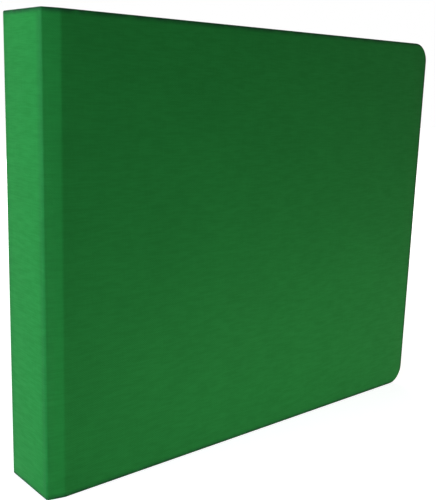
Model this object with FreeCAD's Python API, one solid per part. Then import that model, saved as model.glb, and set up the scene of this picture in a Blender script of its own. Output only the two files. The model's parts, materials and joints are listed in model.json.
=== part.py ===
import FreeCAD, Part
import math
import os

Vector = FreeCAD.Vector

# Driving dimensions of the closed album, in millimetres.
# It stands on its lower edge: X runs from the spine to the fore edge, the front cover faces -Y, Z is up.
coverHeight = 250.0
coverWidth = 300.0
thickness = 44.0
spineFlat = 39.0
hingeReach = 9.5
cornerRadius = 12.5

# The case: cloth glued over greyboard, turned in round the edges, with a lining over the turn-ins.
clothThickness = 0.4
boardThickness = 2.2
liningThickness = 0.3
turnIn = 14.0
liningMargin = 4.0
edgeRounding = 0.8
clothCreaseGap = 0.05
boardCreaseGap = 0.6
liningCreaseGap = 0.15
wallThickness = 2 * clothThickness + boardThickness + liningThickness

# The ring mechanism, measured from the outer face of the spine and from the middle of the thickness.
ringRadius = 14.0
wireRadius = 1.4
wireSides = 12
ringBendSteps = 14
ringSpacing = 80.0
ringCrossing = 8.6
tipGap = 0.05
tongueLength = 0.8
tongueWidth = 1.2
tongueClearance = 0.2

shellLength = 218.0
shellHalfWidth = 11.5
shellShoulder = 9.6
shellHeight = 5.9
shellSheet = 0.8
shellCamber = 0.3
shellCutBack = 4.5
shellEndHeight = 3.9
lipWidth = 1.9
notchHeight = 4.6
notchInner = 4.6

bladeLength = 208.0
bladeThickness = 1.2
bladeInner = 0.3
bladePivot = 10.0
bladeMiddle = 5.7
bladeNotchRadius = 3.4

leverPivotHeight = 5.4
leverPivotInset = 2.5
leverBarrelRadius = 1.7
leverBarrelWidth = 17.0
leverTabWidth = 12.0
leverTabTop = 13.5
leverTabSheet = 1.2
leverTabLean = 1.4
leverTabRound = 3.0
leverNoseReach = 4.0
leverNoseWidth = 4.0
leverNoseTop = 4.7
leverNoseThickness = 0.8
leverBore = 1.2
leverPinRadius = 1.0

rivetOffset = 40.0
rivetShank = 2.25
rivetFlange = 4.0
rivetFlangeThickness = 0.5
rivetHeadHeight = 1.0
rivetHeadTop = 2.4
rivetSides = 16

# The stock leaves: card punched for the rings, with clear pocket strips on both faces.
leafCount = 8
leafPitch = 1.9
leafWidth = 262.0
leafHeight = 230.0
leafCard = 0.8
leafCorner = 5.0
holeRadius = 4.0
holeSides = 16
holeFromEdge = 10.0
holeOffset = 1.45
pocketRows = 5
pocketFilm = 0.25
pocketHeight = 38.0
pocketGap = 5.0
pocketSideMargin = 8.0
pocketBindingMargin = 22.0

# How far a cut runs past the material, and how close two places count as the same.
cutOver = 2.0
touch = 0.01

spineX = -coverWidth / 2
middleZ = coverHeight / 2
innerX = spineX + wallThickness
crownX = innerX + shellHeight
ringCentreX = crownX + math.sqrt(ringRadius ** 2 - ringCrossing ** 2)
ringLevels = [middleZ - ringSpacing, middleZ, middleZ + ringSpacing]
rivetLevels = [middleZ - rivetOffset, middleZ + rivetOffset]
leafPlanes = [(i - (leafCount - 1) / 2) * leafPitch for i in range(leafCount)]
bladeBottomX = spineX + bladeMiddle - bladeThickness / 2
bladeTopX = bladeBottomX + bladeThickness
leverPivotX = spineX + leverPivotHeight
leverReach = shellLength / 2 - leverPivotInset
leverLevels = [middleZ - leverReach, middleZ + leverReach]

# The outline of the case seen from above, from the back fore edge round the spine to the front fore edge.
backFore = Vector(coverWidth / 2, thickness / 2, 0)
backCrease = Vector(spineX + hingeReach, thickness / 2, 0)
backSpine = Vector(spineX, spineFlat / 2, 0)
frontSpine = Vector(spineX, -spineFlat / 2, 0)
frontCrease = Vector(spineX + hingeReach, -thickness / 2, 0)
frontFore = Vector(coverWidth / 2, -thickness / 2, 0)
caseLine = [backFore, backCrease, backSpine, frontSpine, frontCrease, frontFore]


def box(low, high):
    size = high - low
    return Part.makeBox(size.x, size.y, size.z, low)


def cylinder(start, end, radius):
    return Part.makeCylinder(radius, (end - start).Length, start, end - start)


def prism(points, direction):
    return Part.Face(Part.makePolygon(points + points[:1])).extrude(direction)


def facetedDisc(centre, across, up, radius, sides):
    # A disc with flat sides, which keeps wires, rivets and punched holes light where they repeat.
    points = []
    for i in range(sides):
        angle = 2 * math.pi * (i + 0.5) / sides
        points.append(centre + across * (radius * math.cos(angle)) + up * (radius * math.sin(angle)))
    return Part.Face(Part.makePolygon(points + points[:1]))


def facetedRod(start, end, radius):
    # A rivet's shank, or the hole for one, along X.
    return facetedDisc(start, Vector(0, 1, 0), Vector(0, 0, 1), radius, rivetSides).extrude(end - start)


def runDirection(panel):
    return (caseLine[panel + 1] - caseLine[panel]).normalize()


def inward(panel):
    run = runDirection(panel)
    return Vector(-run.y, run.x, 0)


def mitre(corner):
    # Step towards the inside, per millimetre of depth, along the bisector of a crease.
    if corner == 0:
        return inward(0)
    if corner == len(caseLine) - 1:
        return inward(corner - 1)
    before = inward(corner - 1)
    after = inward(corner)
    return (before + after) * (1 / (1 + before.dot(after)))


def slab(panel, shallow, deep, margin, creaseGap, foreGap):
    # A layer of one panel between two depths, held back from its creases and from its free edges.
    run = runDirection(panel)
    startGap = foreGap if panel == 0 else creaseGap
    endGap = foreGap if panel == len(caseLine) - 2 else creaseGap
    corners = []
    for depth in (shallow, deep):
        corners.append(caseLine[panel] + mitre(panel) * depth + run * startGap)
        corners.append(caseLine[panel + 1] + mitre(panel + 1) * depth - run * endGap)
    outline = [corners[0], corners[1], corners[3], corners[2]]
    lifted = [point + Vector(0, 0, margin) for point in outline]
    return prism(lifted, Vector(0, 0, coverHeight - 2 * margin))


def roundForeCorners(solid, radius):
    # Rounds the two upright corners of a cover panel at its fore edge.
    foreX = solid.BoundBox.XMax
    picked = []
    for edge in solid.Edges:
        ends = [vertex.Point for vertex in edge.Vertexes]
        alongDepth = abs(ends[0].z - ends[-1].z) < touch
        if alongDepth and min(ends[0].x, ends[-1].x) > foreX - touch:
            picked.append(edge)
    return solid.makeFillet(radius, picked)


def isCover(panel):
    return panel in (0, len(caseLine) - 2)


def softenRims(solid, panel):
    # Rounds the outer rim along the head, tail and fore edge, where the cloth turns over the board.
    picked = []
    for edge in solid.Edges:
        middle = edge.valueAt((edge.FirstParameter + edge.LastParameter) / 2)
        onRim = middle.z < touch or middle.z > coverHeight - touch
        onFore = isCover(panel) and middle.x > coverWidth / 2 - cornerRadius
        depth = (middle - caseLine[panel]).dot(inward(panel))
        if (onRim or onFore) and depth < touch:
            picked.append(edge)
    return solid.makeFillet(edgeRounding, picked)


def makeBoard(panel):
    board = slab(panel, clothThickness, clothThickness + boardThickness, clothThickness,
                 boardCreaseGap, clothThickness)
    if isCover(panel):
        board = roundForeCorners(board, cornerRadius - clothThickness)
    return board


def makeCloth(panel):
    # The outer skin with its edges turned round the board and glued down inside.
    innerFace = 2 * clothThickness + boardThickness
    skin = slab(panel, 0, innerFace, 0, clothCreaseGap, 0)
    room = slab(panel, clothThickness, innerFace - clothThickness, clothThickness,
                -wallThickness, clothThickness)
    window = slab(panel, clothThickness, innerFace + clothThickness, turnIn, -wallThickness, turnIn)
    if isCover(panel):
        skin = roundForeCorners(skin, cornerRadius)
        room = roundForeCorners(room, cornerRadius - clothThickness)
    skin = softenRims(skin, panel)
    return skin.cut(room).cut(window)


def makeLining(panel):
    # Fills the window between the turn-ins and laps over them.
    boardFace = clothThickness + boardThickness
    lapFace = boardFace + clothThickness
    filling = slab(panel, boardFace, lapFace, turnIn, liningCreaseGap, turnIn)
    lap = slab(panel, lapFace, lapFace + liningThickness, liningMargin, liningCreaseGap, liningMargin)
    if isCover(panel):
        lap = roundForeCorners(lap, cornerRadius - liningMargin)
    return filling.fuse(lap).removeSplitter()


def rivetAt(level):
    # A clinched rivet: a tapered head on the shell, a shank, and a flange sunk in the spine board.
    boardOuter = Vector(spineX + clothThickness, 0, level)
    headFoot = Vector(crownX + shellCamber, 0, level)
    shank = facetedRod(boardOuter, headFoot, rivetShank)
    flange = facetedRod(boardOuter, boardOuter + Vector(rivetFlangeThickness, 0, 0), rivetFlange)
    rims = []
    for rise, radius in ((0, rivetFlange), (rivetHeadHeight, rivetHeadTop)):
        centre = headFoot + Vector(rise, 0, 0)
        rims.append(facetedDisc(centre, Vector(0, 1, 0), Vector(0, 0, 1), radius, rivetSides).OuterWire)
    head = Part.makeLoft(rims, True, True)
    return shank.fuse(flange).fuse(head).removeSplitter()


def shellProfile(halfWidth, shoulder, top, bottom):
    # Cross-section of the spring shell: straight flanks, rounded shoulders and a slightly cambered crown.
    flankTop = top - (halfWidth - shoulder)
    bend = math.sqrt(0.5) * (halfWidth - shoulder)
    frontFoot = Vector(bottom, -halfWidth, 0)
    frontFlank = Vector(flankTop, -halfWidth, 0)
    frontShoulder = Vector(top, -shoulder, 0)
    backShoulder = Vector(top, shoulder, 0)
    backFlank = Vector(flankTop, halfWidth, 0)
    backFoot = Vector(bottom, halfWidth, 0)
    frontBend = Vector(flankTop + bend, -shoulder - bend, 0)
    backBend = Vector(flankTop + bend, shoulder + bend, 0)
    edges = [
        Part.makeLine(frontFoot, frontFlank),
        Part.Arc(frontFlank, frontBend, frontShoulder).toShape(),
        Part.Arc(frontShoulder, Vector(top + shellCamber, 0, 0), backShoulder).toShape(),
        Part.Arc(backShoulder, backBend, backFlank).toShape(),
        Part.makeLine(backFlank, backFoot),
        Part.makeLine(backFoot, frontFoot),
    ]
    return Part.Face(Part.Wire(edges))


def makeShell():
    # The sprung cover of the mechanism, with notches for the rings and open ends for the levers.
    low = middleZ - shellLength / 2
    rise = Vector(0, 0, shellLength)
    outer = shellProfile(shellHalfWidth, shellShoulder, crownX, innerX)
    inner = shellProfile(shellHalfWidth - shellSheet, shellShoulder - shellSheet / 2, crownX - shellSheet,
                         innerX - cutOver)
    shell = outer.extrude(rise).cut(inner.extrude(rise))
    shell.translate(Vector(0, 0, low))
    for side in (-1, 1):
        edge = side * (shellHalfWidth - touch)
        inside = side * (shellHalfWidth - lipWidth)
        lip = box(Vector(innerX, min(edge, inside), low + shellCutBack),
                  Vector(innerX + shellSheet, max(edge, inside), low + shellLength - shellCutBack))
        shell = shell.fuse(lip)
        for level in ringLevels:
            outside = side * (shellHalfWidth + cutOver)
            within = side * notchInner
            notch = box(Vector(bladeTopX, min(outside, within), level - notchHeight / 2),
                        Vector(crownX + cutOver, max(outside, within), level + notchHeight / 2))
            shell = shell.cut(notch)
    for end in (low, low + shellLength - shellCutBack):
        crownCut = box(Vector(innerX + shellEndHeight, -shellShoulder, end),
                       Vector(crownX + cutOver, shellShoulder, end + shellCutBack))
        shell = shell.cut(crownCut)
    for level in leverLevels:
        pinHole = cylinder(Vector(leverPivotX, -shellHalfWidth - cutOver, level),
                           Vector(leverPivotX, shellHalfWidth + cutOver, level), leverPinRadius)
        shell = shell.cut(pinHole)
    for level in rivetLevels:
        rivetHole = facetedRod(Vector(innerX, 0, level), Vector(crownX + cutOver, 0, level), rivetShank)
        shell = shell.cut(rivetHole)
    return shell.removeSplitter()


def makeBlade(side):
    # One of the two toggle plates: it turns about its outer edge and carries three half rings.
    low = middleZ - bladeLength / 2
    inside = side * bladeInner
    outside = side * bladePivot
    blade = box(Vector(bladeBottomX, min(inside, outside), low),
                Vector(bladeTopX, max(inside, outside), low + bladeLength))
    for level in rivetLevels:
        clearance = cylinder(Vector(bladeBottomX - cutOver, 0, level), Vector(bladeTopX + cutOver, 0, level),
                             bladeNotchRadius)
        blade = blade.cut(clearance)
    for level in ringLevels:
        blade = blade.cut(ringShank(side, level))
    return blade


def wireSection(side, level, angle):
    # Cross-section of the ring wire at an angle round the ring, measured from the tips.
    radial = Vector(math.cos(angle), side * math.sin(angle), 0)
    place = Vector(ringCentreX, 0, level) + radial * ringRadius
    return facetedDisc(place, radial, Vector(0, 0, 1), wireRadius, wireSides)


def shankAngle():
    # Where the bent wire goes straight, at the crown of the shell.
    return math.pi - math.asin(ringCrossing / ringRadius)


def ringShank(side, level):
    # The straight end of the wire, which runs on from the ring down to the blade's lower face.
    angle = shankAngle()
    tangent = Vector(-math.sin(angle), side * math.cos(angle), 0)
    length = (crownX - bladeBottomX) / math.sin(angle) + cutOver
    shank = wireSection(side, level, angle).extrude(tangent * length)
    below = box(Vector(bladeBottomX - ringRadius, -ringRadius, level - ringRadius),
                Vector(bladeBottomX, ringRadius, level + ringRadius))
    return shank.cut(below)


def makeHalfRing(side, level):
    # A round wire bent to half the ring, with a tongue on the front tip and its socket on the back one.
    tipAngle = tipGap / ringRadius
    step = (shankAngle() - tipAngle) / ringBendSteps
    sections = [wireSection(side, level, tipAngle + step * i).OuterWire for i in range(ringBendSteps + 1)]
    ring = Part.makeLoft(sections, True, True).fuse(ringShank(side, level))
    tipX = ringCentreX + ringRadius
    grow = 0 if side < 0 else tongueClearance
    half = tongueWidth / 2 + grow
    tongue = box(Vector(tipX - half, -2 * tipGap - wireRadius / 4, level - half),
                 Vector(tipX + half, tongueLength + grow, level + half))
    if side < 0:
        return ring.fuse(tongue).removeSplitter()
    return ring.cut(tongue).removeSplitter()


def makeLever(level):
    # Bent sheet lever: a barrel on its pin, a thumb tab outside, and a nose under the blade ends.
    outward = 1 if level > middleZ else -1
    pivot = Vector(leverPivotX, 0, level)
    barrel = cylinder(pivot - Vector(0, leverBarrelWidth / 2, 0), pivot + Vector(0, leverBarrelWidth / 2, 0),
                      leverBarrelRadius)
    halfTab = leverTabWidth / 2
    sheet = leverTabSheet * outward
    lean = leverTabLean * outward
    tabTop = spineX + leverTabTop
    knee = (pivot.x + tabTop) / 2
    tabPoints = [
        Vector(pivot.x, -halfTab, level - sheet / 2),
        Vector(knee, -halfTab, level - sheet / 2),
        Vector(tabTop, -halfTab, level - sheet / 2 + lean),
        Vector(tabTop, -halfTab, level + sheet / 2 + lean),
        Vector(knee, -halfTab, level + sheet / 2),
        Vector(pivot.x, -halfTab, level + sheet / 2),
    ]
    tab = prism(tabPoints, Vector(0, leverTabWidth, 0))
    topCorners = []
    for edge in tab.Edges:
        ends = [vertex.Point for vertex in edge.Vertexes]
        if abs(ends[0].y - ends[1].y) < touch and min(ends[0].x, ends[1].x) > tabTop - touch:
            topCorners.append(edge)
    tab = tab.makeFillet(leverTabRound, topCorners)
    noseTop = spineX + leverNoseTop
    noseEnd = level - outward * leverNoseReach
    nose = box(Vector(noseTop - leverNoseThickness, -leverNoseWidth / 2, min(level, noseEnd)),
               Vector(noseTop, leverNoseWidth / 2, max(level, noseEnd)))
    bore = cylinder(pivot - Vector(0, leverBarrelWidth, 0), pivot + Vector(0, leverBarrelWidth, 0), leverBore)
    return barrel.fuse(tab).fuse(nose).cut(bore).removeSplitter()


def makeLeverPins():
    pins = []
    for level in leverLevels:
        pins.append(cylinder(Vector(leverPivotX, -shellHalfWidth, level),
                             Vector(leverPivotX, shellHalfWidth, level), leverPinRadius))
    return Part.makeCompound(pins)


def leafLeft(plane):
    # Binding edge of a leaf that hangs on the round of the rings at its own place in the stack.
    onRing = ringCentreX + math.sqrt(ringRadius ** 2 - plane ** 2)
    return onRing + holeOffset - holeFromEdge


def makeLeaf(plane):
    left = leafLeft(plane)
    low = middleZ - leafHeight / 2
    card = box(Vector(left, plane - leafCard / 2, low),
               Vector(left + leafWidth, plane + leafCard / 2, low + leafHeight))
    foreCorners = []
    for edge in card.Edges:
        ends = [vertex.Point for vertex in edge.Vertexes]
        if abs(ends[0].y - ends[1].y) > leafCard / 2 and ends[0].x > left + leafWidth - touch:
            foreCorners.append(edge)
    card = card.makeFillet(leafCorner, foreCorners)
    for level in ringLevels:
        centre = Vector(left + holeFromEdge, plane - leafCard, level)
        hole = facetedDisc(centre, Vector(1, 0, 0), Vector(0, 0, 1), holeRadius, holeSides)
        card = card.cut(hole.extrude(Vector(0, 2 * leafCard, 0)))
    return card


def makePockets(plane):
    # Rows of clear film on both faces of a leaf, open along their upper edges.
    left = leafLeft(plane)
    rowsHeight = pocketRows * pocketHeight + (pocketRows - 1) * pocketGap
    low = middleZ - rowsHeight / 2
    films = []
    for side in (-1, 1):
        face = plane + side * leafCard / 2
        outer = face + side * pocketFilm
        for row in range(pocketRows):
            bottom = low + row * (pocketHeight + pocketGap)
            films.append(box(Vector(left + pocketBindingMargin, min(face, outer), bottom),
                             Vector(left + leafWidth - pocketSideMargin, max(face, outer),
                                    bottom + pocketHeight)))
    return Part.makeCompound(films)


def makeSpineBoard():
    board = makeBoard(2)
    for level in rivetLevels:
        outerFace = Vector(spineX + clothThickness, 0, level)
        board = board.cut(facetedRod(outerFace, Vector(innerX, 0, level), rivetShank))
        board = board.cut(facetedRod(outerFace, outerFace + Vector(rivetFlangeThickness, 0, 0), rivetFlange))
    return board


def makeSpineLining():
    lining = makeLining(2)
    for level in rivetLevels:
        rivetHole = facetedRod(Vector(spineX, 0, level), Vector(innerX + cutOver, 0, level), rivetShank)
        lining = lining.cut(rivetHole)
    return lining


parts = {
    "spine_board": makeSpineBoard(),
    "spine_cloth": makeCloth(2),
    "spine_lining": makeSpineLining(),
    "ring_base_shell": makeShell(),
    "base_rivets": Part.makeCompound([rivetAt(level) for level in rivetLevels]),
    "lever_pins": makeLeverPins(),
    "bottom_lever": makeLever(leverLevels[0]),
    "top_lever": makeLever(leverLevels[1]),
}
for name, hingePanel, coverPanel in (("front", 3, 4), ("back", 1, 0)):
    parts[name + "_hinge_board"] = makeBoard(hingePanel)
    parts[name + "_hinge_cloth"] = makeCloth(hingePanel)
    parts[name + "_hinge_lining"] = makeLining(hingePanel)
    parts[name + "_cover_board"] = makeBoard(coverPanel)
    parts[name + "_cover_cloth"] = makeCloth(coverPanel)
    parts[name + "_cover_lining"] = makeLining(coverPanel)
for name, side in (("front", -1), ("back", 1)):
    parts[name + "_blade"] = makeBlade(side)
    for place, level in zip(("bottom", "middle", "top"), ringLevels):
        parts[name + "_half_ring_" + place] = makeHalfRing(side, level)
for number, plane in enumerate(leafPlanes, 1):
    parts["leaf_%d_card" % number] = makeLeaf(plane)
    parts["leaf_%d_pockets" % number] = makePockets(plane)

os.makedirs("parts", exist_ok=True)
for name, shape in parts.items():
    shape.exportStep("parts/" + name + ".step")
    state = "valid" if shape.isValid() else "not valid"
    print(name, len(shape.Solids), "solid(s)", round(shape.Volume), "mm3", state)
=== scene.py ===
import json
import math

import bmesh
import bpy
from mathutils import Matrix, Vector

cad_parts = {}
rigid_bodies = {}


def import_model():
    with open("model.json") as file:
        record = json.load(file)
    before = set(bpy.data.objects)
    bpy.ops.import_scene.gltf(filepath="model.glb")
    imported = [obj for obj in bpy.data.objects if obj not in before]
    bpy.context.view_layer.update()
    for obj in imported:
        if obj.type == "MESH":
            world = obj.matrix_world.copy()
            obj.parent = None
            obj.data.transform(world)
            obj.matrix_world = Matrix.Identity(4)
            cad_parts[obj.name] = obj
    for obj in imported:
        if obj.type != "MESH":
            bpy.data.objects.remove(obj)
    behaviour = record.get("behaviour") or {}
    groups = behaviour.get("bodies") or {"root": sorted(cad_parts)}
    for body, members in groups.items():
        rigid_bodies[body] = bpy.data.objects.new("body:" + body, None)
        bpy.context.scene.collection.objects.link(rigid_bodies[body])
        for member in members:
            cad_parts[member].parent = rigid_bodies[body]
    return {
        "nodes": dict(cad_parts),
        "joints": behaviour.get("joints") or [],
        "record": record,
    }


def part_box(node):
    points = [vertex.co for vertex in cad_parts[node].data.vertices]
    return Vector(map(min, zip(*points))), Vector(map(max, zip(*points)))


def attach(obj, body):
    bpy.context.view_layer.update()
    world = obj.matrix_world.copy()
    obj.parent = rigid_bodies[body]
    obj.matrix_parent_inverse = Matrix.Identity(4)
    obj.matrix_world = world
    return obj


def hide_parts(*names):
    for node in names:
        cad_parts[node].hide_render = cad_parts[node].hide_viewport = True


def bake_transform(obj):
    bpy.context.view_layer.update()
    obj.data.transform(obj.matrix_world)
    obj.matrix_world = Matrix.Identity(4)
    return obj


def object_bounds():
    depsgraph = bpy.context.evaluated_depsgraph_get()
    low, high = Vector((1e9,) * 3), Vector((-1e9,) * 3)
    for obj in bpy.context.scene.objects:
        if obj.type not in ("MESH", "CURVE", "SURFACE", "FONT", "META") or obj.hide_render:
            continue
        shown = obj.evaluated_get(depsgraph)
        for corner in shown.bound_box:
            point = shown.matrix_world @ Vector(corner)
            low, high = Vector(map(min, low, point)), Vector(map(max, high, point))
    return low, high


for leftover in list(bpy.data.objects):
    bpy.data.objects.remove(leftover)

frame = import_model()
cadLow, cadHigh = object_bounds()
nodes = frame["nodes"]
joints = {joint["name"]: joint for joint in frame["joints"]}
print("frame loaded:", len(nodes), "nodes")

# Places read from the frame: the creases of the case, its fore edge and its height.
spineX, spineHalf = joints["back_spine_crease"]["pos_m"][:2]
creaseX, halfThickness = joints["back_cover_crease"]["pos_m"][:2]
foreX = cadHigh.x
topZ = cadHigh.z
ringAxis = Vector(joints["leaf_1_turn"]["pos_m"])
sides = {"front": -1, "back": 1}
touch = 1e-6   # closer than this counts as the same place


# Small helpers for meshes and nodes

def addObject(name, bm, material):
    mesh = bpy.data.meshes.new(name)
    bm.to_mesh(mesh)
    bm.free()
    mesh.materials.append(material)
    piece = bpy.data.objects.new(name, mesh)
    bpy.context.scene.collection.objects.link(piece)
    return piece


def addNode(tree, kind, **values):
    node = tree.nodes.new(kind)
    for key, value in values.items():
        setattr(node, key, value)
    return node


def setInputs(node, **values):
    for key, value in values.items():
        node.inputs[key.replace("_", " ")].default_value = value
    return node


def mathNode(tree, operation, first, second=None):
    node = addNode(tree, "ShaderNodeMath", operation=operation)
    for socket, value in zip(node.inputs, (first, second)):
        if value is None:
            continue
        if isinstance(value, (int, float)):
            socket.default_value = value
        else:
            tree.links.new(value, socket)
    return node.outputs[0]


def rampNode(tree, value, low, high, lowOut=0.0, highOut=1.0):
    node = addNode(tree, "ShaderNodeMapRange", interpolation_type="SMOOTHSTEP")
    tree.links.new(value, node.inputs["Value"])
    setInputs(node, From_Min=low, From_Max=high, To_Min=lowOut, To_Max=highOut)
    return node.outputs[0]


def noiseNode(tree, vector, stretch, scale, detail=3.0, roughness=0.55):
    mapping = addNode(tree, "ShaderNodeMapping")
    mapping.inputs["Scale"].default_value = stretch
    tree.links.new(vector, mapping.inputs["Vector"])
    noise = addNode(tree, "ShaderNodeTexNoise")
    setInputs(noise, Scale=scale, Detail=detail, Roughness=roughness)
    tree.links.new(mapping.outputs[0], noise.inputs["Vector"])
    return noise.outputs[0]


def mixColour(tree, factor, first, second, blend="MIX"):
    # The colour sockets of a Mix node come after those for numbers and vectors.
    node = addNode(tree, "ShaderNodeMix", data_type="RGBA", blend_type=blend)
    for socket, value in ((node.inputs[0], factor), (node.inputs[6], first), (node.inputs[7], second)):
        if isinstance(value, bpy.types.NodeSocket):
            tree.links.new(value, socket)
        else:
            socket.default_value = value
    return node.outputs[2]


def bumpNode(tree, height, strength, distance):
    bump = addNode(tree, "ShaderNodeBump")
    setInputs(bump, Strength=strength, Distance=distance)
    tree.links.new(height, bump.inputs["Height"])
    return bump.outputs[0]


def newMaterial(name):
    material = bpy.data.materials.new(name)
    material.use_nodes = True
    return material, material.node_tree, material.node_tree.nodes["Principled BSDF"]


def newGroup(name, inputs, outputs):
    group = bpy.data.node_groups.new(name, "ShaderNodeTree")
    for socketName, kind in inputs:
        group.interface.new_socket(socketName, in_out="INPUT", socket_type=kind)
    for socketName, kind in outputs:
        group.interface.new_socket(socketName, in_out="OUTPUT", socket_type=kind)
    entry = addNode(group, "NodeGroupInput")
    leave = addNode(group, "NodeGroupOutput")
    return group, entry.outputs, leave.inputs


def placeGroup(tree, group, vector, **values):
    node = addNode(tree, "ShaderNodeGroup", node_tree=group)
    tree.links.new(vector, node.inputs["Vector"])
    setInputs(node, **values)
    return node.outputs


# Shared effects

weaveLook = {
    "crossings": 0.5,
    "mottleScale": 26.0,
    "slubs": {   # stretch of the thick places over the unrolled cloth, and their share
        "fineWeft": ((110, 1300, 1), 0.45),
        "coarseWeft": ((85, 360, 1), 0.35),
        "warp": ((1500, 90, 1), 0.20),
    },
}


def makeWeaveGroup():
    # Plain weave with slubs: thicker places in the threads that show as short fine streaks.
    group, given, wanted = newGroup(
        "clothWeave",
        [("Vector", "NodeSocketVector"), ("Threads", "NodeSocketFloat")],
        [("Height", "NodeSocketFloat"), ("Slub", "NodeSocketFloat"), ("Mottle", "NodeSocketFloat")])
    split = addNode(group, "ShaderNodeSeparateXYZ")
    group.links.new(given["Vector"], split.inputs[0])
    waves = []
    for axis in (0, 1):
        turns = mathNode(group, "MULTIPLY", split.outputs[axis], given["Threads"])
        waves.append(mathNode(group, "SINE", mathNode(group, "MULTIPLY", turns, math.pi)))
    crossing = mathNode(group, "MULTIPLY", waves[0], waves[1])
    slub = 0.0
    for stretch, share in weaveLook["slubs"].values():
        thread = noiseNode(group, given["Vector"], stretch, 1.0, detail=2)
        slub = mathNode(group, "ADD", mathNode(group, "MULTIPLY", thread, share), slub)
    height = mathNode(group, "ADD", mathNode(group, "MULTIPLY", crossing, weaveLook["crossings"]), slub)
    mottle = noiseNode(group, given["Vector"], (1, 1, 1), weaveLook["mottleScale"], detail=4)
    group.links.new(height, wanted["Height"])
    group.links.new(slub, wanted["Slub"])
    group.links.new(mottle, wanted["Mottle"])
    return group


grainLook = {
    "fibreRoughness": 0.7,
    "cloudScale": 18.0,
}


def makeGrainGroup():
    # Fine fibres and broad unevenness, for every finish but the cloth.
    group, given, wanted = newGroup(
        "paperGrain", [("Vector", "NodeSocketVector"), ("Scale", "NodeSocketFloat")],
        [("Fibre", "NodeSocketFloat"), ("Cloud", "NodeSocketFloat")])
    scaled = addNode(group, "ShaderNodeVectorMath", operation="SCALE")
    group.links.new(given["Vector"], scaled.inputs[0])
    group.links.new(given["Scale"], scaled.inputs["Scale"])
    fibre = noiseNode(group, scaled.outputs[0], (1, 1, 1), 1.0, detail=5,
                      roughness=grainLook["fibreRoughness"])
    cloud = noiseNode(group, given["Vector"], (1, 1, 1), grainLook["cloudScale"], detail=3)
    group.links.new(fibre, wanted["Fibre"])
    group.links.new(cloud, wanted["Cloud"])
    return group


soilAndShadeLook = {
    "spineSide": 0.0012,   # the painted shade beside the spine creases centres this far onto the spine's side
    "patchScale": 140.0,
    "patchRange": (0.25, 0.60),
    "patchShare": (0.45, 1.0),
}


def makeEdgeSoilAndShadeGroup(forePlace):
    # Darker places read from the unrolled cloth: painted shade beside the spine creases, and along the head,
    # tail and fore edge partly soiling and partly painted shade of the rims.
    group, given, wanted = newGroup(
        "edgeWear",
        [("Vector", "NodeSocketVector"), ("Rim Reach", "NodeSocketFloat"),
         ("Crease Reach", "NodeSocketFloat")],
        [("Rim", "NodeSocketFloat"), ("Crease", "NodeSocketFloat")])
    split = addNode(group, "ShaderNodeSeparateXYZ")
    group.links.new(given["Vector"], split.inputs[0])
    along = mathNode(group, "ABSOLUTE", split.outputs[0])
    fromMiddle = mathNode(group, "ABSOLUTE", mathNode(group, "SUBTRACT", split.outputs[1], topZ / 2))
    toHead = mathNode(group, "ABSOLUTE", mathNode(group, "SUBTRACT", fromMiddle, topZ / 2))
    toFore = mathNode(group, "ABSOLUTE", mathNode(group, "SUBTRACT", along, forePlace))
    toRim = mathNode(group, "MINIMUM", toHead, toFore)
    # The painted shade beside each spine crease is centred on the spine's side, where the light falls off
    # round the crease.
    shadedPlace = spineHalf - soilAndShadeLook["spineSide"]
    toCrease = mathNode(group, "ABSOLUTE", mathNode(group, "SUBTRACT", along, shadedPlace))
    patchy = noiseNode(group, given["Vector"], (1, 1, 1), soilAndShadeLook["patchScale"], detail=4)
    patchiness = rampNode(group, patchy, *soilAndShadeLook["patchRange"], *soilAndShadeLook["patchShare"])
    for distance, socket in ((toRim, "Rim"), (toCrease, "Crease")):
        near = mathNode(group, "DIVIDE", distance, given[socket + " Reach"])
        mask = rampNode(group, near, 0.0, 1.0, 1.0, 0.0)
        group.links.new(mathNode(group, "MULTIPLY", mask, patchiness), wanted[socket])
    return group


def alongCase(point):
    # Distance round the case from the middle of the spine, and depth below the outer face.
    place = Vector((point.x, abs(point.y)))
    spineCorner = Vector((spineX, spineHalf))
    coverCorner = Vector((creaseX, halfThickness))
    strip = coverCorner - spineCorner
    stripRun = strip.normalized()
    stripIn = Vector((stripRun.y, -stripRun.x))
    spineMitre = stripIn + Vector((1, 0))
    coverMitre = stripIn + Vector((0, -1))
    fromSpine = place - spineCorner
    fromCover = place - coverCorner
    if spineMitre.x * fromSpine.y - spineMitre.y * fromSpine.x < 0:
        return place.y, place.x - spineX
    if coverMitre.x * fromCover.y - coverMitre.y * fromCover.x < 0:
        return spineHalf + fromSpine.dot(stripRun), fromSpine.dot(stripIn)
    return spineHalf + strip.length + fromCover.x, halfThickness - place.y


weaveGroup = makeWeaveGroup()
grainGroup = makeGrainGroup()
edgeSoilAndShadeGroup = makeEdgeSoilAndShadeGroup(alongCase(Vector((foreX, halfThickness)))[0])
print("shared effects made")


# Finishes

clothLook = {
    "colour": (0.0100, 0.150, 0.0212, 1.0),
    "light": (0.018, 0.200, 0.046, 1.0),
    "dark": (0.008, 0.095, 0.021, 1.0),
    # The dark colour that paints shade beside the spine creases and, with soiling, along the rims.
    "soiled": (0.004, 0.030, 0.011, 1.0),
    "rimReach": 0.0034,
    "creaseReach": 0.0046,
    "creaseSoil": 0.24,
    "threads": 1700.0,
    "evenShare": 0.86,   # how much of the even colour covers the streaks
    "streakRange": (0.40, 0.60),
    "mottleRange": (0.3, 0.7),
    "mottleShades": ((0.975, 0.975, 0.975, 1), (1.025, 1.025, 1.025, 1)),
    "slubRange": (0.3, 0.7),
    "roughness": (0.68, 0.56),   # between slubs and on them
    "specular": 0.06,
    "bump": 0.35,
    "bumpDepth": 0.00012,
}


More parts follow.
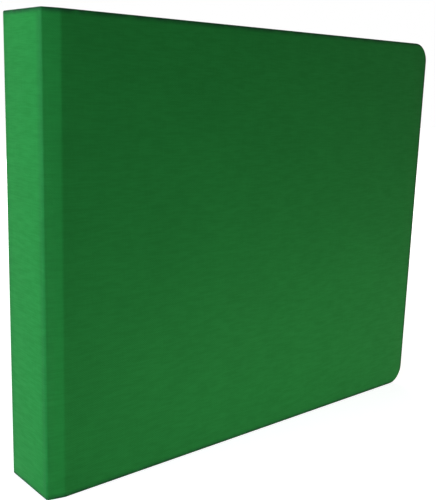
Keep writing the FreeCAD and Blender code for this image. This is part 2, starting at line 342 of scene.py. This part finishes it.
def makeClothMaterial():
    material, tree, shader = newMaterial("bookCloth")
    unrolled = addNode(tree, "ShaderNodeUVMap", uv_map="unrolled").outputs[0]
    weave = placeGroup(tree, weaveGroup, unrolled, Threads=clothLook["threads"])
    edgeMarks = placeGroup(tree, edgeSoilAndShadeGroup, unrolled, Rim_Reach=clothLook["rimReach"],
                      Crease_Reach=clothLook["creaseReach"])
    streaks = rampNode(tree, weave["Slub"], *clothLook["streakRange"])
    mottled = rampNode(tree, weave["Mottle"], *clothLook["mottleRange"])
    colour = mixColour(tree, streaks, clothLook["dark"], clothLook["light"])
    colour = mixColour(tree, clothLook["evenShare"], colour, clothLook["colour"])
    shade = mixColour(tree, mottled, *clothLook["mottleShades"])
    colour = mixColour(tree, 1.0, colour, shade, "MULTIPLY")
    # Painted shade: the Crease mask darkens the spine's side of the spine creases, and the Rim mask darkens
    # the rims, partly soiling and partly painted shade.
    creaseSoil = mathNode(tree, "MULTIPLY", edgeMarks["Crease"], clothLook["creaseSoil"])
    soilAndShade = mathNode(tree, "MAXIMUM", edgeMarks["Rim"], creaseSoil)
    colour = mixColour(tree, soilAndShade, colour, clothLook["soiled"])
    roughness = rampNode(tree, weave["Slub"], *clothLook["slubRange"], *clothLook["roughness"])
    normal = bumpNode(tree, weave["Height"], clothLook["bump"], clothLook["bumpDepth"])
    tree.links.new(colour, shader.inputs["Base Color"])
    tree.links.new(roughness, shader.inputs["Roughness"])
    tree.links.new(normal, shader.inputs["Normal"])
    setInputs(shader, Specular_IOR_Level=clothLook["specular"])
    return material


papers = {
    "liningPaper": {"colour": (0.014, 0.062, 0.024, 1), "pale": (0.026, 0.098, 0.040, 1), "fibres": 700.0,
                    "roughness": 0.72, "bump": 0.25},
    "greyBoard": {"colour": (0.16, 0.15, 0.13, 1), "pale": (0.27, 0.25, 0.22, 1), "fibres": 500.0,
                  "roughness": 0.9, "bump": 0.4},
    "leafCard": {"colour": (0.014, 0.014, 0.015, 1), "pale": (0.030, 0.030, 0.031, 1), "fibres": 900.0,
                 "roughness": 0.66, "bump": 0.25},
}
paperLook = {
    "fibreRange": (0.4, 0.75),
    "cloudShare": 0.35,
    "roughRange": (0.2, 0.8),
    "roughSpread": 0.06,
    "specular": 0.3,
    "bumpDepth": 0.0001,
}


def makePaperMaterial(name):
    paper = papers[name]
    material, tree, shader = newMaterial(name)
    place = addNode(tree, "ShaderNodeTexCoord").outputs["Object"]
    grain = placeGroup(tree, grainGroup, place, Scale=paper["fibres"])
    fibres = rampNode(tree, grain["Fibre"], *paperLook["fibreRange"])
    tint = mixColour(tree, fibres, paper["colour"], paper["pale"])
    clouded = mathNode(tree, "MULTIPLY", grain["Cloud"], paperLook["cloudShare"])
    tint = mixColour(tree, clouded, tint, paper["colour"])
    smoothest = paper["roughness"] - paperLook["roughSpread"]
    roughest = paper["roughness"] + paperLook["roughSpread"]
    roughness = rampNode(tree, grain["Fibre"], *paperLook["roughRange"], smoothest, roughest)
    normal = bumpNode(tree, grain["Fibre"], paper["bump"], paperLook["bumpDepth"])
    tree.links.new(tint, shader.inputs["Base Color"])
    tree.links.new(roughness, shader.inputs["Roughness"])
    tree.links.new(normal, shader.inputs["Normal"])
    setInputs(shader, Specular_IOR_Level=paperLook["specular"])
    return material


nickelLook = {
    "shades": ((0.60, 0.585, 0.55, 1), (0.70, 0.69, 0.665, 1)),
    "grain": 900.0,
    "scratchStretch": (2600, 2600, 60),
    "scratchRange": (0.3, 0.75),
    "roughness": (0.27, 0.34),
    "bump": 0.03,
    "bumpDepth": 0.00005,
}


def makeNickelMaterial():
    material, tree, shader = newMaterial("nickelPlate")
    place = addNode(tree, "ShaderNodeTexCoord").outputs["Object"]
    grain = placeGroup(tree, grainGroup, place, Scale=nickelLook["grain"])
    tint = mixColour(tree, grain["Cloud"], *nickelLook["shades"])
    scratches = noiseNode(tree, place, nickelLook["scratchStretch"], 1.0, detail=2)
    roughness = rampNode(tree, scratches, *nickelLook["scratchRange"], *nickelLook["roughness"])
    normal = bumpNode(tree, scratches, nickelLook["bump"], nickelLook["bumpDepth"])
    tree.links.new(tint, shader.inputs["Base Color"])
    tree.links.new(roughness, shader.inputs["Roughness"])
    tree.links.new(normal, shader.inputs["Normal"])
    setInputs(shader, Metallic=1.0)
    return material


filmLook = {
    "shades": ((0.93, 0.95, 0.95, 1), (0.98, 0.98, 0.97, 1)),
    "grain": 160.0,
    "cloudRange": (0.3, 0.7),
    "roughness": (0.03, 0.09),
    "ior": 1.34,
    "bump": 0.2,
    "bumpDepth": 0.0004,
}


def makeFilmMaterial():
    material, tree, shader = newMaterial("clearFilm")
    place = addNode(tree, "ShaderNodeTexCoord").outputs["Object"]
    grain = placeGroup(tree, grainGroup, place, Scale=filmLook["grain"])
    tint = mixColour(tree, grain["Cloud"], *filmLook["shades"])
    roughness = rampNode(tree, grain["Cloud"], *filmLook["cloudRange"], *filmLook["roughness"])
    normal = bumpNode(tree, grain["Cloud"], filmLook["bump"], filmLook["bumpDepth"])
    tree.links.new(tint, shader.inputs["Base Color"])
    tree.links.new(roughness, shader.inputs["Roughness"])
    tree.links.new(normal, shader.inputs["Normal"])
    setInputs(shader, Transmission_Weight=1.0, IOR=filmLook["ior"])
    return material


bookCloth = makeClothMaterial()
liningPaper = makePaperMaterial("liningPaper")
greyBoard = makePaperMaterial("greyBoard")
leafCard = makePaperMaterial("leafCard")
nickelPlate = makeNickelMaterial()
clearFilm = makeFilmMaterial()
slotFinishes = {
    "book_cloth": bookCloth,
    "lining_paper": liningPaper,
    "grey_board": greyBoard,
    "leaf_card": leafCard,
    "pocket_film": clearFilm,
    "nickel_steel": nickelPlate,
}
for part in frame["record"]["subparts"]:
    mesh = nodes[part["node"]].data
    mesh.materials.clear()
    mesh.materials.append(slotFinishes[part["material_slot"]])
print("finishes made:", len(slotFinishes))


# The case: book cloth drawn over boards, in four skins that meet on flat places

spineCrease, coverCrease, foreEnd = 1, 2, 3   # places in caseCorners
case = {
    "wall": 0.0030,
    "clothThickness": 0.0004,
    "turnIn": 0.014,
    "cornerRadius": 0.0125,
    "cornerSteps": 16,
    "rimRadius": 0.0010,
    "rimSteps": 4,
    "rimAngle": 60.0,
    "creaseRadii": {spineCrease: 0.0015, coverCrease: 0.0070},
    "creaseSteps": 8,
    "flatness": 0.99999,   # how squarely a face lies in its panel to be shaded flat
    "sharpAngle": 50.0,
}


def caseCorners(side):
    # Spine middle, spine crease, cover crease and fore edge of one half of the case, seen from above.
    sign = sides[side]
    return [Vector((spineX, 0, 0)), Vector((spineX, sign * spineHalf, 0)),
            Vector((creaseX, sign * halfThickness, 0)), Vector((foreX, sign * halfThickness, 0))]


def inwardOf(run, side):
    return Vector((-run.y, run.x, 0)) * -sides[side]


def creaseRuns(side, corner):
    corners = caseCorners(side)
    return ((corners[corner] - corners[corner - 1]).normalized(),
            (corners[corner + 1] - corners[corner]).normalized())


def creaseReach(side, corner):
    before, after = creaseRuns(side, corner)
    return case["creaseRadii"][corner] * math.sin(before.angle(after) / 2)


def creaseRow(side, corner, depths):
    # Points at several depths on the mitre where two panels meet.
    before, after = (inwardOf(run, side) for run in creaseRuns(side, corner))
    mitre = (before + after) / (1 + before.dot(after))
    return tuple(caseCorners(side)[corner] + mitre * depth for depth in depths)


def endRow(side, corner, depths):
    # Points at the spine's middle or at the fore edge.
    corners = caseCorners(side)
    run = corners[foreEnd] - corners[coverCrease] if corner == foreEnd else corners[spineCrease] - corners[0]
    normal = inwardOf(run.normalized(), side)
    return tuple(corners[corner] + normal * depth for depth in depths)


def stripMiddle(side, depths):
    rows = zip(creaseRow(side, spineCrease, depths), creaseRow(side, coverCrease, depths))
    return tuple((a + b) / 2 for a, b in rows)


def wallFromRows(rows, reach, low, high):
    # Two panels that meet at a rounded crease, raised to a wall.
    bm = bmesh.new()
    posts = [[bm.verts.new((point.x, point.y, low)) for point in row] for row in rows]
    for here, there in zip(posts, posts[1:]):
        bm.faces.new((here[0], there[0], there[1], here[1]))
    crease = [edge for edge in bm.edges if not edge.is_boundary]
    bmesh.ops.bevel(bm, geom=crease, offset=reach, segments=case["creaseSteps"], profile=0.5, affect="EDGES",
                    material=-1)
    grown = bmesh.ops.extrude_face_region(bm, geom=bm.faces[:])
    lifted = [item for item in grown["geom"] if isinstance(item, bmesh.types.BMVert)]
    bmesh.ops.translate(bm, verts=lifted, vec=(0, 0, high - low))
    bmesh.ops.recalc_face_normals(bm, faces=bm.faces[:])
    return bm


def atRow(vert, row):
    return any((vert.co.xy - point.xy).length < touch for point in row)


def onSeam(item, row):
    # True when every corner of an edge or face lies in the upright plane through a row.
    outer, inner = row
    across = inwardOf((inner - outer).normalized(), "front")
    return all(abs((vert.co - outer).dot(across)) < touch for vert in item.verts)


def openSeam(bm, row):
    ends = [face for face in bm.faces if onSeam(face, row)]
    bmesh.ops.delete(bm, geom=ends, context="FACES_ONLY")


def roundForeCorners(bm, row):
    picked = [edge for edge in bm.edges
              if all(atRow(vert, row) for vert in edge.verts) and edge.verts[0].co.z == edge.verts[1].co.z]
    bmesh.ops.bevel(bm, geom=picked, offset=case["cornerRadius"], segments=case["cornerSteps"], profile=0.5,
                    affect="EDGES", material=-1)


def roundRims(bm, seams):
    picked = [edge for edge in bm.edges
              if edge.calc_face_angle() > math.radians(case["rimAngle"])
              and not any(onSeam(edge, seam) for seam in seams)]
    bmesh.ops.bevel(bm, geom=picked, offset=case["rimRadius"], segments=case["rimSteps"], profile=0.5,
                    affect="EDGES", material=-1, clamp_overlap=False)


def sliceAt(bm, place, normal):
    geometry = bm.verts[:] + bm.edges[:] + bm.faces[:]
    bmesh.ops.bisect_plane(bm, geom=geometry, plane_co=place, plane_no=normal)


def openWindow(bm, foreLimit):
    # Leaves only the turned-in edges on the inner face.
    for level in (case["turnIn"], topZ - case["turnIn"]):
        sliceAt(bm, (0, 0, level), (0, 0, 1))
    sliceAt(bm, (foreLimit, 0, 0), (1, 0, 0))
    window = []
    for face in bm.faces:
        middle = face.calc_center_median()
        inside = alongCase(middle)[1] > case["wall"] - 10 * touch
        if inside and case["turnIn"] < middle.z < topZ - case["turnIn"] and middle.x < foreLimit:
            window.append(face)
    bmesh.ops.delete(bm, geom=window, context="FACES")


def unrollCloth(bm, side):
    layer = bm.loops.layers.uv.new("unrolled")
    for face in bm.faces:
        for loop in face.loops:
            place = loop.vert.co
            along, depth = alongCase(place)
            turned = depth if place.z > topZ / 2 else -depth
            forward = depth if place.x > foreX - case["wall"] else 0
            loop[layer].uv = ((along + forward) * -sides[side], place.z + turned)


def shadeFlats(bm, side):
    # Panels stay flat, so that only the rounded edges and creases turn the light.
    corners = caseCorners(side)
    flats = [inwardOf((there - here).normalized(), side) for here, there in zip(corners, corners[1:])]
    flats.append(Vector((0, 0, 1)))
    for face in bm.faces:
        face.smooth = max(abs(face.normal.dot(flat)) for flat in flats) < case["flatness"]


def makeSkin(name, side, rows, reach, seams, foreEdge):
    bm = wallFromRows(rows, reach, 0, topZ)
    if foreEdge is not None:
        roundForeCorners(bm, foreEdge)
    roundRims(bm, seams)
    for seam in seams:
        openSeam(bm, seam)
    openWindow(bm, foreX - case["turnIn"])
    bm.normal_update()
    bmesh.ops.solidify(bm, geom=bm.faces[:], thickness=case["clothThickness"])
    bm.normal_update()
    shadeFlats(bm, side)
    unrollCloth(bm, side)
    skin = addObject(name, bm, bookCloth)
    skin.data.set_sharp_from_angle(angle=math.radians(case["sharpAngle"]))
    return skin


def bendAcross(piece):
    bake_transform(piece)


def makeCase(side):
    depths = (0, case["wall"])
    spineMiddle = endRow(side, 0, depths)
    middle = stripMiddle(side, depths)
    fore = endRow(side, foreEnd, depths)
    spineRows = [spineMiddle, creaseRow(side, spineCrease, depths), middle]
    coverRows = [middle, creaseRow(side, coverCrease, depths), fore]
    spineSkin = makeSkin(side + "_spine_skin", side, spineRows, creaseReach(side, spineCrease),
                         (spineMiddle, middle), None)
    coverSkin = makeSkin(side + "_cover_skin", side, coverRows, creaseReach(side, coverCrease),
                         (middle,), fore)
    bendAcross(spineSkin)
    bendAcross(coverSkin)
    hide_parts(side + "_hinge_cloth")
    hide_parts(side + "_cover_cloth")
    return spineSkin


frontSpineSkin = makeCase("front")
makeCase("back")
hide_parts("spine_cloth")
print("case skins made")


# The lining tapes that bridge the creases inside the case

tape = {
    "depths": (0.00332, 0.00352),
    "onSpine": 0.0130,
    "onCover": 0.0130,
    "margin": 0.0050,
}


def makeTapes(side):
    depths = tape["depths"]
    start = tuple(point + Vector((0, sides[side] * tape["onSpine"], 0)) for point in endRow(side, 0, depths))
    end = tuple(point + Vector((tape["onCover"], 0, 0)) for point in creaseRow(side, coverCrease, depths))
    middle = stripMiddle(side, depths)
    spans = {
        "spine": (spineCrease, start, middle, "spine", side + "_hinge"),
        "cover": (coverCrease, middle, end, side + "_hinge", side + "_cover"),
    }
    for span, (corner, first, last, firstBody, lastBody) in spans.items():
        rows = [first, creaseRow(side, corner, depths), last]
        bm = wallFromRows(rows, creaseReach(side, corner), tape["margin"], topZ - tape["margin"])
        shadeFlats(bm, side)
        piece = addObject(side + "_" + span + "_tape", bm, liningPaper)
        bendAcross(piece)


for side in sides:
    makeTapes(side)
print("lining tapes made")


# The rings: round wire, a tongue on each front tip and its socket on each back tip

ring = {
    "radius": 0.0140,
    "crossing": 0.0086,
    "wire": 0.0014,
    "wireSides": 24,
    "steps": 48,
    "tipRound": 0.0002,
    "tipSteps": 2,
    "tongue": 0.0011,
    "tongueLength": 0.0008,
    "socket": 0.00066,
    "socketDepth": 0.0010,
    "flatness": 0.999,   # how squarely a face lies across the tip to be shaded flat
}


def makeHalfRing(side, level):
    sign = sides[side]
    node = side + "_half_ring_" + level
    low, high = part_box(node)
    centre = Vector((ringAxis.x, 0, (low.z + high.z) / 2))
    sweep = math.pi - math.asin(ring["crossing"] / ring["radius"])
    tipPlace = Matrix.Translation(centre + Vector((ring["radius"], 0, 0)))
    bm = bmesh.new()
    tip = bmesh.ops.create_circle(bm, segments=ring["wireSides"], radius=ring["wire"],
                                  matrix=tipPlace @ Matrix.Rotation(math.pi / 2, 4, "X"))["verts"]
    tipEdges = bm.edges[:]
    swept = bmesh.ops.spin(bm, geom=tip + tipEdges, cent=centre, axis=(0, 0, sign), angle=sweep,
                           steps=ring["steps"])
    lastEdges = [item for item in swept["geom_last"] if isinstance(item, bmesh.types.BMEdge)]
    grown = bmesh.ops.extrude_edge_only(bm, edges=lastEdges)["geom"]
    moved = [item for item in grown if isinstance(item, bmesh.types.BMVert)]
    run = Vector((-math.sin(sweep), sign * math.cos(sweep), 0))
    rise = centre.x + ring["radius"] * math.cos(sweep) - low.x
    bmesh.ops.translate(bm, verts=moved, vec=run * (rise / math.sin(sweep)))
    bm.faces.new(tip)
    endEdges = [item for item in grown if isinstance(item, bmesh.types.BMEdge) and item.is_boundary]
    bmesh.ops.holes_fill(bm, edges=endEdges)
    bmesh.ops.recalc_face_normals(bm, faces=bm.faces[:])
    bmesh.ops.bevel(bm, geom=tipEdges, offset=ring["tipRound"], segments=ring["tipSteps"], profile=0.5,
                    affect="EDGES", material=-1)
    tipFace = max(bm.faces, key=lambda face: len(face.verts) * (face.calc_center_median().x > centre.x))
    if side == "back":
        rim = ring["wire"] - ring["tipRound"] - ring["socket"]
        bmesh.ops.inset_region(bm, faces=[tipFace], thickness=rim)
        sunk = bmesh.ops.extrude_discrete_faces(bm, faces=[tipFace])["faces"][0]
        bmesh.ops.translate(bm, verts=sunk.verts[:], vec=(0, ring["socketDepth"], 0))
    else:
        size = Matrix.Diagonal((ring["tongue"], 2 * ring["tongueLength"], ring["tongue"], 1))
        bmesh.ops.create_cube(bm, size=1.0, matrix=tipPlace @ size)
    bm.normal_update()
    for face in bm.faces:
        face.smooth = len(face.verts) == 4 and abs(face.normal.y) < ring["flatness"]
    piece = addObject(side + "_ring_wire_" + level, bm, nickelPlate)
    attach(piece, side + "_ring_blade")
    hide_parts(node)


for side in sides:
    for level in ("bottom", "middle", "top"):
        makeHalfRing(side, level)
print("ring wires made")


# The leaves' clear strips: sealed below and at both ends, open and slightly bowed along the top

film = {
    "rows": 5,
    "height": 0.038,
    "thickness": 0.00012,
    "gap": 0.00002,
    "bow": 0.00026,
    "waves": 7.0,
    "waveShare": 0.25,
    "leafPhase": 2.1,
    "rowPhase": 1.3,
    "across": 28,
    "up": 8,
    "sharpAngle": 40.0,
}


def addStrip(bm, corner, width, outward, phase):
    grid = bmesh.ops.create_grid(bm, x_segments=film["across"], y_segments=film["up"], size=0.5)["verts"]
    for vert in grid:
        u, v = vert.co.x + 0.5, vert.co.y + 0.5
        sealed = math.sin(math.pi * u) ** 2
        wave = 1 - film["waveShare"] + film["waveShare"] * math.sin(film["waves"] * u + phase)
        lift = film["bow"] * sealed * wave * v ** 2
        vert.co = corner + Vector((u * width, outward * lift, v * film["height"]))


def makeFilm(leaf):
    low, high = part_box("leaf_%d_pockets" % leaf)
    cardLow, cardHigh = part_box("leaf_%d_card" % leaf)
    pitch = (high.z - low.z - film["height"]) / (film["rows"] - 1)
    clear = film["gap"] + film["thickness"]
    bm = bmesh.new()
    for plane, outward in ((cardLow.y - clear, -1), (cardHigh.y + clear, 1)):
        for row in range(film["rows"]):
            corner = Vector((low.x, plane, low.z + row * pitch))
            phase = leaf * film["leafPhase"] + row * film["rowPhase"]
            addStrip(bm, corner, high.x - low.x, outward, phase)
    bm.normal_update()
    middle = (cardLow.y + cardHigh.y) / 2
    inward = [face for face in bm.faces if face.normal.y * (face.calc_center_median().y - middle) < 0]
    bmesh.ops.reverse_faces(bm, faces=inward)
    bm.normal_update()
    bmesh.ops.solidify(bm, geom=bm.faces[:], thickness=film["thickness"])
    for face in bm.faces:
        face.smooth = True
    piece = addObject("leaf_%d_film" % leaf, bm, clearFilm)
    piece.data.set_sharp_from_angle(angle=math.radians(film["sharpAngle"]))
    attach(piece, "leaf_%d" % leaf)
    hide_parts("leaf_%d_pockets" % leaf)


leafNumbers = [int(name.split("_")[1]) for name in nodes if name.endswith("_pockets")]
for leaf in leafNumbers:
    makeFilm(leaf)
print("pocket strips made:", len(leafNumbers), "leaves")


# The camera and the stage

camera = {
    "lens": 56.29,
    "sensor": 36.0,
    "place": (-0.3301, -0.3593, 0.2158),
    "yaw": 40.80,
    "pitch": 11.74,
    "roll": -1.84,
}


def makeCamera():
    yaw, pitch, roll = (math.radians(camera[key]) for key in ("yaw", "pitch", "roll"))
    ahead = Vector((math.sin(yaw) * math.cos(pitch), math.cos(yaw) * math.cos(pitch), -math.sin(pitch)))
    right = Vector((math.cos(yaw), -math.sin(yaw), 0))
    down = ahead.cross(right)
    across = right * math.cos(roll) + down * math.sin(roll)
    below = down * math.cos(roll) - right * math.sin(roll)
    data = bpy.data.cameras.new("albumCamera")
    data.lens = camera["lens"]
    data.sensor_width = camera["sensor"]
    eye = bpy.data.objects.new("albumCamera", data)
    turn = Matrix((across, -below, -ahead)).transposed()
    eye.matrix_world = Matrix.Translation(camera["place"]) @ turn.to_4x4()
    bpy.context.scene.collection.objects.link(eye)
    bpy.context.scene.camera = eye


stage = {
    "floorReach": 4.0,
    "floorColour": (0.50, 0.50, 0.46, 1),
    "floorRoughness": 0.9,
    "floorSpecular": 0.1,
    "paleRange": (0.30, 0.90),   # from the album's shadow out to plain white
    "paleness": (0.8, 1.0),
    "world": (1.0, 0.97, 0.50, 1),
    "worldStrength": 0.10,
}
lamps = {
    "windowLeft": {"place": (-1.6, -0.25, 0.36), "aim": (0, 0, 0.12), "size": (0.9, 0.9), "power": 40.5,
                   "colour": (0.90, 1.0, 1.34), "mirrored": True},
    "fillFront": {"place": (0.5, -1.7, 0.7), "aim": (0, 0, 0.12), "size": (1.4, 1.4), "power": 0.6,
                  "colour": (1.0, 0.98, 0.90), "mirrored": True},
    "overhead": {"place": (0.1, 0.2, 1.8), "aim": (0, 0, 0.12), "size": (1.6, 1.6), "power": 1.2,
                 "colour": (1.0, 1.0, 1.0), "mirrored": True},
    "tableGlow": {"place": (0.06, -0.20, 0.012), "aim": (0.06, 0, 0.012), "size": (0.46, 0.02),
                  "power": 0.31, "colour": (1.45, 1.0, 1.20), "mirrored": False},
    "windowBack": {"place": (0.7, 1.5, 0.75), "aim": (0, 0, 0.12), "size": (1.0, 1.0), "power": 24.0,
                   "colour": (1.0, 1.0, 1.0), "mirrored": True},
}


def seenDirectly(tree):
    # One where the camera looks at a surface, or sees it in metal or through film.
    path = addNode(tree, "ShaderNodeLightPath").outputs
    shown = mathNode(tree, "MAXIMUM", path["Is Glossy Ray"], path["Is Transmission Ray"])
    return mathNode(tree, "MAXIMUM", path["Is Camera Ray"], shown)


def makeFloor():
    bm = bmesh.new()
    bmesh.ops.create_grid(bm, x_segments=2, y_segments=2, size=stage["floorReach"])
    material, tree, shader = newMaterial("paleFloor")
    place = addNode(tree, "ShaderNodeTexCoord").outputs["Object"]
    reach = addNode(tree, "ShaderNodeVectorMath", operation="LENGTH")
    tree.links.new(place, reach.inputs[0])
    paleness = rampNode(tree, reach.outputs["Value"], *stage["paleRange"], *stage["paleness"])
    glow = mathNode(tree, "MULTIPLY", seenDirectly(tree), paleness)
    tree.links.new(glow, shader.inputs["Emission Strength"])
    setInputs(shader, Base_Color=stage["floorColour"], Roughness=stage["floorRoughness"],
              Specular_IOR_Level=stage["floorSpecular"], Emission_Color=(1, 1, 1, 1))
    floor = addObject("floor", bm, material)


def makeWorld():
    world = bpy.data.worlds.new("studio")
    world.use_nodes = True
    bpy.context.scene.world = world
    tree = world.node_tree
    ambient = setInputs(tree.nodes["Background"], Color=stage["world"], Strength=stage["worldStrength"])
    backdrop = setInputs(addNode(tree, "ShaderNodeBackground"), Color=(1, 1, 1, 1), Strength=1.0)
    mix = addNode(tree, "ShaderNodeMixShader")
    tree.links.new(seenDirectly(tree), mix.inputs[0])
    tree.links.new(ambient.outputs[0], mix.inputs[1])
    tree.links.new(backdrop.outputs[0], mix.inputs[2])
    tree.links.new(mix.outputs[0], tree.nodes["World Output"].inputs[0])


def makeLamps():
    for name, values in lamps.items():
        data = bpy.data.lights.new(name, "AREA")
        data.shape = "RECTANGLE"
        data.size, data.size_y = values["size"]
        data.energy = values["power"]
        data.color = values["colour"]
        lamp = bpy.data.objects.new(name, data)
        lamp.visible_camera = False
        lamp.visible_glossy = values["mirrored"]
        aim = Vector(values["aim"]) - Vector(values["place"])
        lamp.location = values["place"]
        lamp.rotation_mode = "QUATERNION"
        lamp.rotation_quaternion = aim.to_track_quat("-Z", "Y")
        bpy.context.scene.collection.objects.link(lamp)


makeCamera()
makeFloor()
makeWorld()
makeLamps()
bpy.context.scene.view_settings.view_transform = "Standard"
print("camera and stage made")
